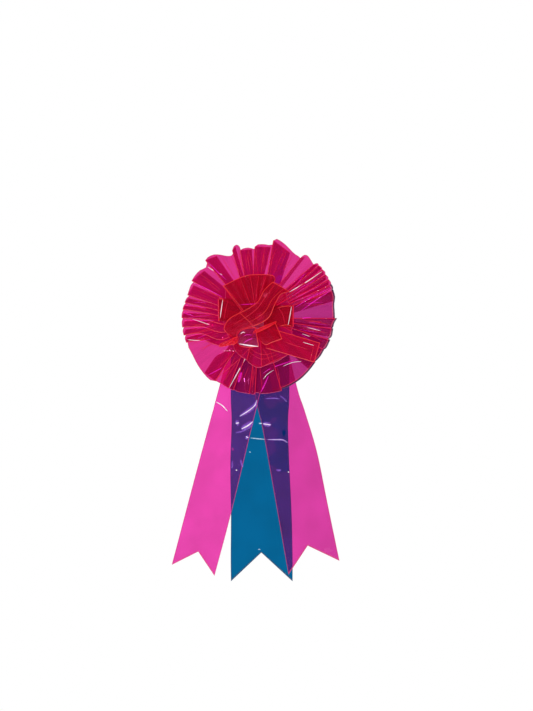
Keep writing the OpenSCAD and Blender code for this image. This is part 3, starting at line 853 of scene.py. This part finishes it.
def loop(name, root, tip, width, y_front, gap, seed, twist, materials=PETAL, cut=("v0", "v1")):
    """A strip led out from root to tip, folded over and led back; root and tip are (x, z)."""
    bend_steps, cells_across = 6, 9
    root, tip = np.array(root, float), np.array(tip, float)
    reach = np.linalg.norm(tip - root)
    way = (tip - root) / reach
    side = np.array([-way[1], way[0]])
    bend_r = gap / 2
    straight = reach - bend_r
    out, home = np.linspace(0, straight, 9), np.linspace(straight, 2, 8)
    path = [(s, y_front + 0.8 * math.sin(math.pi * s / reach)) for s in out]
    first_fold = len(path) - 1
    for k in range(1, bend_steps):
        turn = math.pi * k / bend_steps
        path.append((straight + bend_r * math.sin(turn), y_front + bend_r - bend_r * math.cos(turn)))
    last_fold = len(path)
    path += [(s, y_front + gap + 0.4 * math.sin(math.pi * s / reach)) for s in home]
    rows = []
    for s, y in path:
        row = []
        for v in shares(width, cells_across, EDGE_W):
            off = (v - 0.5) * width
            flat = root + way * s + side * off
            row.append([flat[0], y + twist * off * s / reach, flat[1]])
        rows.append(row)
    grid = np.array(rows)
    crumple(grid, 8, 0.5, seed)
    return film(name, grid, materials, folds=set(range(first_fold, last_fold)), cut=cut)


def make_loops(y):
    """The loops of the CAD model, by node."""
    lower = loop("long_loop_film", (8, -17.5), (47, -29), 16.5, y - 2.2, 1.6, 2.0, 0.05, LONG_LOOP)
    left = loop("left_loop_film", (-6, 6), (-33, 5.5), 18, y - 2.8, 1.6, 4.0, -0.05, cut=())
    right = loop("right_loop_film", (4, 0.5), (28, 0.5), 17.5, y - 5.5, 1.8, 6.0, 0.04, cut=())
    return {"long_loop": lower, "left_loop": left, "right_loop": right}


def make_fans(y):
    """The fans above and below the middle and the band across it, by node."""
    lower = between(
        "lower_petal_film",
        [(-4, -12.5, y - 7), (2, -10, y - 8.5), (8.6, -7, y - 8.5), (13, -4.4, y - 7)],
        [(-1, -17, y - 7), (5.1, -22.8, y - 7.5), (10.3, -21, y - 8.5), (18.8, -18, y - 7)],
        cup=1.0, seed=8.0,
    )
    upper = between(
        "upper_petal_film",
        [(-3, -7, y - 6), (-2, -7, y - 6), (0, -6, y - 6)],
        [(-29, 25, y - 4), (-14, 32, y - 5), (-4, 34, y - 6), (10.5, 33.5, y - 6), (13, 30, y - 5)],
        cells_along=40, cells_across=12, seed=2.0, wave=0.9, waves=7,
    )
    band = between(
        "centre_band_film",
        [(11, 28, y - 8), (4, 21, y - 11), (-1, 12, y - 13), (-9.5, 6, y - 13), (-23, -1, y - 11),
         (-28, -8, y - 9), (-27, -12, y - 8), (-19, -18, y - 7)],
        [(25, 20, y - 8), (18, 18, y - 10), (13, 10, y - 12), (8, -1, y - 12.5), (-2.5, -7, y - 12),
         (-13, -9.5, y - 11), (-17.5, -13, y - 10), (-18, -19, y - 7.5)],
        cells_along=60, cup=1.2, seed=5.0,
    )
    return {"lower_loop": lower, "upper_loop": upper, "centre_band": band}


def make_knot(y):
    """Small crushed pieces in front, which stand for no CAD node."""
    return [
        between(
            "front_loop_film",
            [(-18, -19, y - 7.5), (-16.3, -12.5, y - 9), (-11, -9.5, y - 10), (-2.6, -8.6, y - 10)],
            [(-17, -21, y - 7), (-15.5, -23.5, y - 7.5), (-8, -25, y - 8.5), (0, -24, y - 8)],
            cup=1.6, seed=11.0, materials=FRONT_LOOP,
        ),
        between(
            "red_roll_film",
            [(-5, -14.5, y - 9), (2, -11.5, y - 10.5), (9, -8, y - 10.5), (14, -4.6, y - 9)],
            [(-4.5, -12, y - 10), (3, -8, y - 11.5), (9, -5.6, y - 11.5), (14, -3.8, y - 10)],
            cells_across=5, cup=1.2, seed=7.0, materials=KNOT,
        ),
        between(
            "crushed_end_film",
            [(-15.5, -16, y - 8), (-19, -16.5, y - 10), (-23, -18.5, y - 7.5), (-27, -20, y - 9),
             (-31.5, -22, y - 6)],
            [(-16.5, -20, y - 7), (-20, -22.5, y - 9), (-24, -23, y - 6.5), (-28, -24, y - 8),
             (-32, -24.5, y - 5)],
            cells_across=8, cup=0.8, seed=9.0, wave=1.6, waves=6, materials=KNOT,
        ),
    ]


def make_centre():
    """The folded pieces, placed from a y just in front of the inner ruffle."""
    y = front_of("inner_ruffle") - 1.5
    for node, obj in (make_loops(y) | make_fans(y)).items():
        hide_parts(node)
        finish_film(obj)
    for obj in make_knot(y):
        finish_film(obj)


def finish_film(obj):
    """Creases a folded piece of the centre and holds it on the rosette."""
    add_creases(obj, CENTRE_CREASES.get(obj.name, []))
    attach(obj, "rosette")


# ---- Streamers ----


def streamer(side, left, right, notch, painted_crease_highlight, seed):
    """A hanging strip between a left and a right edge, cut to a V at its lower end.

    left and right are the edges' (x, z) points from the top down, and notch is the V's (x, z).
    """
    across_cells, along_cells = 40, 150
    y = middle_of(side + "_streamer")
    edge = side + "_edge"
    a = resample(left, along_cells + 1)
    b = resample(right, along_cells + 1)
    middle = (a[-1] + b[-1]) / 2
    width = float(np.linalg.norm(b[-1] - a[-1]))
    columns = []
    for v in shares(width, across_cells, EDGE_W):
        rise = (np.array(notch, float) - middle) * (1 - abs(2 * v - 1))
        column = []
        for k in range(along_cells + 1):
            s = k / along_cells
            flat = a[k] + (b[k] - a[k]) * v + rise * s**3
            wave = 0.5 * math.sin(math.pi * v) * math.sin(9 * s + seed) * min(1, 3 * s)
            column.append([flat[0], y + wave, flat[1]])
        columns.append(column)
    grid = np.array(columns)
    crumple(grid, 22, 0.5, seed)
    crumple(grid, 7, 0.15, seed + 2)
    materials = (side + "_film", edge, edge, painted_crease_highlight, "violet_sheen")
    return film(side + "_streamer_film", grid, materials, cut=("u0", "u1", "v1"))


def glint(width, points):
    """A painted bright highlight on a ridge, with a painted soft violet sheen round it."""
    halo = [(PAINTED_SOFT_HIGHLIGHT, width * factor, 0.2, points) for factor in (5.5, 4.2, 3.0, 2.0)]
    return [*halo, (PAINTED_HIGHLIGHT, width, 0.8, points)]


def sheen(width, points):
    """A painted soft violet sheen, strongest along its middle."""
    return [(PAINTED_SOFT_HIGHLIGHT, width * factor, 0.2, points) for factor in (1.0, 0.7, 0.4)]


BLUE_CREASES = [
    (PAINTED_HIGHLIGHT, 1.0, 0.5, [(-0.1, -86.5), (2.4, -86.5)]),
    (PAINTED_HIGHLIGHT, 0.8, 0.4, [(-7, -98.3), (-0.8, -99), (6, -99.5)]),
    (PAINTED_HIGHLIGHT, 1.3, 0.5, [(-22.2, -106.4), (-21.4, -107.3), (-20.9, -108.6)]),
    (PAINTED_HIGHLIGHT, 0.8, 0.4, [(-8.1, -109.6), (-7.5, -109.8), (-6.8, -110)]),
    (PAINTED_HIGHLIGHT, 0.8, 0.4, [(-0.6, -189.2), (0.3, -188.8), (1, -189.4)]),
]

LEFT_CREASES = [
    *glint(1.1, [(-14.2, -91), (-9, -88.3), (-5, -85)]),
    *glint(1.0, [(-18.8, -86.6), (-17.6, -86.2), (-16.2, -86)]),
    *glint(0.75, [(-1.8, -67.5), (-3.5, -72), (-9, -76.5), (-15.6, -80.6)]),
    *glint(0.7, [(-10.6, -97), (-9.6, -97.8), (-8.6, -98)]),
    (PAINTED_HIGHLIGHT, 0.9, 0.5, [(-34.7, -69), (-29.7, -72.1), (-25.7, -76.5)]),
    (PAINTED_HIGHLIGHT, 1.0, 0.4, [(-18.8, -124.5), (-17.8, -124.5)]),
    *sheen(2.0, [(-14.9, -115.9), (-14.3, -119), (-13.2, -121.9)]),
    *sheen(1.8, [(-21.5, -117), (-21.8, -123)]),
    *sheen(1.6, [(-19, -94), (-14, -93), (-10, -91)]),
]

RIGHT_CREASES = [
    *glint(0.8, [(3.2, -86.8), (6, -87.2), (9.5, -87.8)]),
    *glint(0.35, [(7, -99.6), (13, -99.7), (19.4, -99.9), (23.2, -102.2)]),
    *sheen(1.4, [(5, -66.5), (11, -66), (17, -66.6)]),
    *sheen(1.4, [(17, -64), (20, -66), (22.5, -69)]),
    *sheen(2.0, [(14, -124.4), (16, -124.6), (18, -124.5)]),
    (PAINTED_HIGHLIGHT, 0.9, 0.4, [(23.6, -125.7), (24.4, -126.4)]),
]


def make_streamers():
    """The blue streamer and the two pink ones."""
    blue = streamer(
        "blue",
        [(-22.5, 14), (-23, -60), (-22.3, -85), (-23.3, -120), (-22.8, -160), (-23, -195), (-22.8, -215)],
        [(24, 14), (24.7, -60), (23.6, -85), (24.4, -115), (26.5, -160), (27.3, -195), (27.3, -215)],
        (1.9, -191.6), "painted_blue_highlight", 1.0,
    )
    left = streamer(
        "left",
        [(-13.5, 14), (-32, -55.6), (-51, -126), (-70.9, -201.5)],
        [(20.5, 14), (-1.5, -71.8), (-22.8, -160), (-36.2, -210.4)],
        (-49.4, -190.7), "painted_crease_highlight", 2.0,
    )
    right = streamer(
        "right",
        [(-20, 14), (-1.5, -71.8), (4.5, -99), (24, -209.5)],
        [(14.5, 14), (30, -53.4), (37.4, -77), (47.2, -110), (56, -153), (65.4, -198.3)],
        (39.6, -185.9), "painted_crease_highlight", 3.0,
    )
    hang_streamer(blue, "blue", BLUE_CREASES)
    hang_streamer(left, "left", LEFT_CREASES)
    hang_streamer(right, "right", RIGHT_CREASES)


def hang_streamer(obj, side, creases):
    """Creases a streamer and puts it in place of its head and free length."""
    add_creases(obj, creases)
    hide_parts(side + "_streamer_head", side + "_streamer")
    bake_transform(obj)


# ---- Backing and pin ----


def tube(name, paths, radius, material):
    """Round stitches: one capped tube along each path of (x, z, y) points."""
    sides = 10
    turns = np.linspace(0, 2 * math.pi, sides, endpoint=False)
    bm = bmesh.new()
    for path in paths:
        pts = [in_frame(x, y, z) for x, z, y in path]
        rings = []
        for k, p in enumerate(pts):
            way = (pts[min(k + 1, len(pts) - 1)] - pts[max(k - 1, 0)]).normalized()
            side = way.cross(Vector((0, 1, 0)))
            side = side.normalized() if side.length > 1e-3 else Vector((1, 0, 0))
            up = way.cross(side).normalized()
            ends = 0.55 if k in (0, len(pts) - 1) else 1.0
            ways = [side * math.cos(t) + up * math.sin(t) for t in turns]
            rings.append([bm.verts.new(p + out * radius * ends * MM) for out in ways])
        for a, b in zip(rings, rings[1:]):
            for k in range(sides):
                bm.faces.new((a[k], a[(k + 1) % sides], b[(k + 1) % sides], b[k])).smooth = True
        bm.faces.new(rings[0][::-1])
        bm.faces.new(rings[-1])
    return finish_mesh(name, bm, [material])


def running_stitch(radius, y, count):
    """Short stitches round a circle, each dipping in at its ends."""
    paths = []
    for k in range(count):
        path = []
        for t, dip in ((0.05, 0.5), (0.2, 0), (0.45, -0.15), (0.65, 0), (0.8, 0.5)):
            at = polar(360 * (k + t) / count, radius)
            path.append((at[0], at[1], y + dip))
        paths.append(path)
    return paths


def make_threads():
    """The gathering threads of both ruffles, and the short row of stitches that shows in front."""
    y_row = front_of("outer_ruffle") - 1.5
    row = [
        [(x, -27.6, y_row), (x + 0.7, -27.5, y_row - 0.5), (x + 1.4, -27.4, y_row)]
        for x in np.arange(-28.5, -14.5, 2.3)
    ]
    outer_round = running_stitch(14.6, front_of("outer_gather_thread") - 3.0, 26)
    inner_round = running_stitch(9.2, front_of("inner_gather_thread") - 2.5, 18)
    outer = tube("outer_gather_stitches", outer_round, 0.3, "thread")
    inner = tube("inner_gather_stitches", inner_round + row, 0.28, "thread")
    for obj, node in ((outer, "outer_gather_thread"), (inner, "inner_gather_thread")):
        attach(obj, "rosette")
        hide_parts(node)


def dress(names, key):
    """Puts a material on CAD nodes that keep their shape."""
    for name in names:
        obj = nodes[name]
        obj.data.materials.clear()
        obj.data.materials.append(MATERIALS[key])


def dress_cad_nodes():
    """Materials for the card, the glue, the felt and the pin."""
    dress(["front_card"], "card")
    dress(["back_cover"], "felt")
    dress(["adhesive_ring"], "tape")
    dress(["staples"], "wire")
    dress(["glue_dots", "glue_core", "ruffle_glue_ring"], "hot_melt")
    dress(["pin_stitches"], "thread")
    dress(["pin_bar", "hinge_rivet", "catch_housing", "pin_needle"], "steel")
    dress(["catch_roller"], "brass")


# ---- Stage ----


def make_world():
    """White to the camera, and a dimmer light to everything else."""
    world = bpy.data.worlds.new("studio")
    bpy.context.scene.world = world
    world.use_nodes = True
    tree = world.node_tree
    tree.nodes.clear()
    path = tree.nodes.new("ShaderNodeLightPath")
    mix = tree.nodes.new("ShaderNodeMixShader")
    out = tree.nodes.new("ShaderNodeOutputWorld")
    tree.links.new(path.outputs["Is Camera Ray"], mix.inputs[0])
    for socket, strength in zip(mix.inputs[1:], (0.3, 1.0)):
        background = tree.nodes.new("ShaderNodeBackground")
        background.inputs["Strength"].default_value = strength
        background.inputs["Color"].default_value = (1, 1, 1, 1)
        tree.links.new(background.outputs[0], socket)
    tree.links.new(mix.outputs[0], out.inputs["Surface"])


def make_light(name, turn, tilt, distance, size, power):
    """A light that faces the ribbon: turn is anticlockwise from the right, tilt off the front."""
    drop = 0.05
    turn, tilt = math.radians(turn), math.radians(tilt)
    aim = Vector((CENTRE.x, CENTRE.y, CENTRE.z - drop))
    off = Vector((math.sin(tilt) * math.cos(turn), -math.cos(tilt), math.sin(tilt) * math.sin(turn)))
    data = bpy.data.lights.new(name, "AREA")
    data.shape = "DISK"
    data.size = size
    data.energy = power
    obj = place(name, data)
    obj.location = aim + off * distance
    obj.rotation_euler = (-off).to_track_quat("-Z", "Y").to_euler()
    return obj


def make_lights():
    """Three small lamps for the gloss, one behind for the film, and a wide soft one for the rest."""
    make_light("left_light", 168, 42, 1.2, 0.06, 0.7)
    make_light("high_left_light", 124, 38, 1.2, 0.06, 0.7)
    make_light("top_light", 86, 40, 1.2, 0.06, 0.7)
    make_light("back_light", 110, 150, 1.4, 0.5, 7)
    fill = make_light("fill_light", 120, 30, 1.6, 1.2, 30)
    fill.visible_glossy = False


def make_floor():
    """A wide pale floor, well below the ribbon, with a slight glow that shows through the film."""
    half, drop, glow = 4.0, 1.0, 0.5
    mesh = bpy.data.meshes.new("floor")
    corners = [(-half, -half), (half, -half), (half, half), (-half, half)]
    mesh.from_pydata([(x, y, -drop) for x, y in corners], [], [(0, 1, 2, 3)])
    paint = surface_material("floor_paint", (0.93, 0.93, 0.93), (0.96, 0.96, 0.96), 3, 0.9)
    shader = paint.node_tree.nodes["Principled BSDF"]
    shader.inputs["Emission Color"].default_value = (1, 1, 1, 1)
    shader.inputs["Emission Strength"].default_value = glow
    paint.cycles.emission_sampling = "NONE"
    mesh.materials.append(paint)
    place("floor", mesh)


def make_camera():
    """A long lens square to the front, framed wider than the object."""
    seen_height = 0.5777
    aim_right, aim_drop = 0.0061, 0.0313
    distance = 2.0
    data = bpy.data.cameras.new("camera")
    data.sensor_fit = "VERTICAL"
    data.sensor_height = 36.0
    data.lens = data.sensor_height * distance / seen_height
    data.clip_end = 50
    camera = place("camera", data)
    camera.location = (CENTRE.x + aim_right, CENTRE.y - distance, CENTRE.z - aim_drop)
    camera.rotation_euler = (math.pi / 2, 0, 0)
    bpy.context.scene.camera = camera


make_rosette_materials()
make_streamer_materials()
make_crease_materials()
make_backing_materials()
make_world()
make_lights()
make_floor()
make_camera()
make_ruffles()
make_centre()
make_streamers()
make_threads()
dress_cad_nodes()

scene = bpy.context.scene
scene.view_settings.view_transform = "Standard"
scene.cycles.transparent_max_bounces = 96
